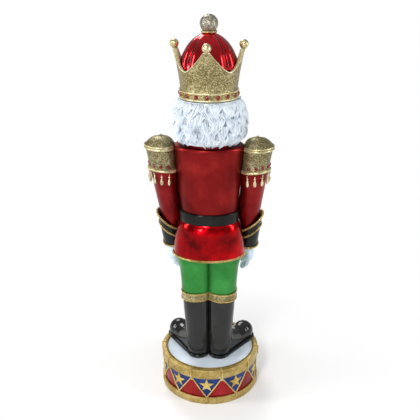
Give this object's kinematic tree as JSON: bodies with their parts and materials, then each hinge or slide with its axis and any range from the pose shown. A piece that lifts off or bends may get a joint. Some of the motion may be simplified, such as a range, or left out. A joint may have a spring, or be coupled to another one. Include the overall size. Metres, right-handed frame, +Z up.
{
  "type": "nutcracker figure",
  "caption": "Standing nutcracker king on a toy drum: cast and painted display figure with a pointed crown, epaulettes, belted coat and tall boots.",
  "frame": {"origin": "middle of the drum's flat underside, on the surface that it stands on", "axes": "+Z up along the figure, the face looks along -Y, the back is towards +Y and +X is the figure's own left side"},
  "size_m": [0.2932, 0.2492, 0.913],
  "materials": {
    "gold_glitter": "gold paint with fine glitter",
    "bright_gold": "polished gold paint",
    "red_coat": "candy red lacquer over silver",
    "red_cap": "candy red lacquer, high gloss",
    "green_paint": "metallic green lacquer",
    "black_paint": "black enamel, gloss",
    "white_paint": "white paint, satin",
    "hair_white": "pearl white paint over sculpted locks",
    "skin_paint": "flesh paint, satin",
    "drum_red": "red lacquer",
    "drum_blue": "blue lacquer",
    "red_stone": "clear red cabochon",
    "steel": "zinc plated",
    "base_board": "painted fibreboard",
    "dowel_wood": "plain beech"
  },
  "bodies": {
    "root": {"base_plate": "base_board", "base_screws": "steel", "drum_shell": "drum_red", "drum_blue_panels": "drum_blue", "drum_stars": "bright_gold", "drum_cords": "bright_gold", "bottom_hoop": "gold_glitter", "top_hoop": "gold_glitter", "drum_head": "white_paint", "head_cord": "bright_gold", "leg_rods": "steel", "rod_nuts": "steel", "left_sole": "black_paint", "right_sole": "black_paint", "left_boot": "black_paint", "right_boot": "black_paint", "left_boot_band": "gold_glitter", "right_boot_band": "gold_glitter", "left_trouser_leg": "green_paint", "right_trouser_leg": "green_paint", "coat_skirt": "red_coat", "hem_braid": "gold_glitter", "coat_body": "red_coat", "belt": "black_paint", "belt_buckle": "bright_gold", "coat_buttons": "bright_gold", "coat_frogs": "gold_glitter", "collar": "red_coat", "arm_dowels": "dowel_wood", "left_sleeve": "red_coat", "right_sleeve": "red_coat", "left_cuff": "black_paint", "right_cuff": "black_paint", "left_cuff_braids": "gold_glitter", "right_cuff_braids": "gold_glitter", "left_glove": "white_paint", "right_glove": "white_paint", "left_epaulette": "gold_glitter", "right_epaulette": "gold_glitter", "left_epaulette_cap": "gold_glitter", "right_epaulette_cap": "gold_glitter", "epaulette_gems": "red_stone", "epaulette_tassels": "bright_gold", "head": "skin_paint", "hair": "hair_white", "beard": "hair_white", "moustache": "hair_white", "nose": "skin_paint", "eyes": "white_paint", "eyebrows": "hair_white", "teeth": "white_paint", "crown": "gold_glitter", "crown_gems": "red_stone", "crown_balls": "bright_gold", "crown_cap": "red_cap", "finial_collar": "bright_gold", "finial_ball": "bright_gold", "finial_stud": "steel"}
  },
  "joints": []
}
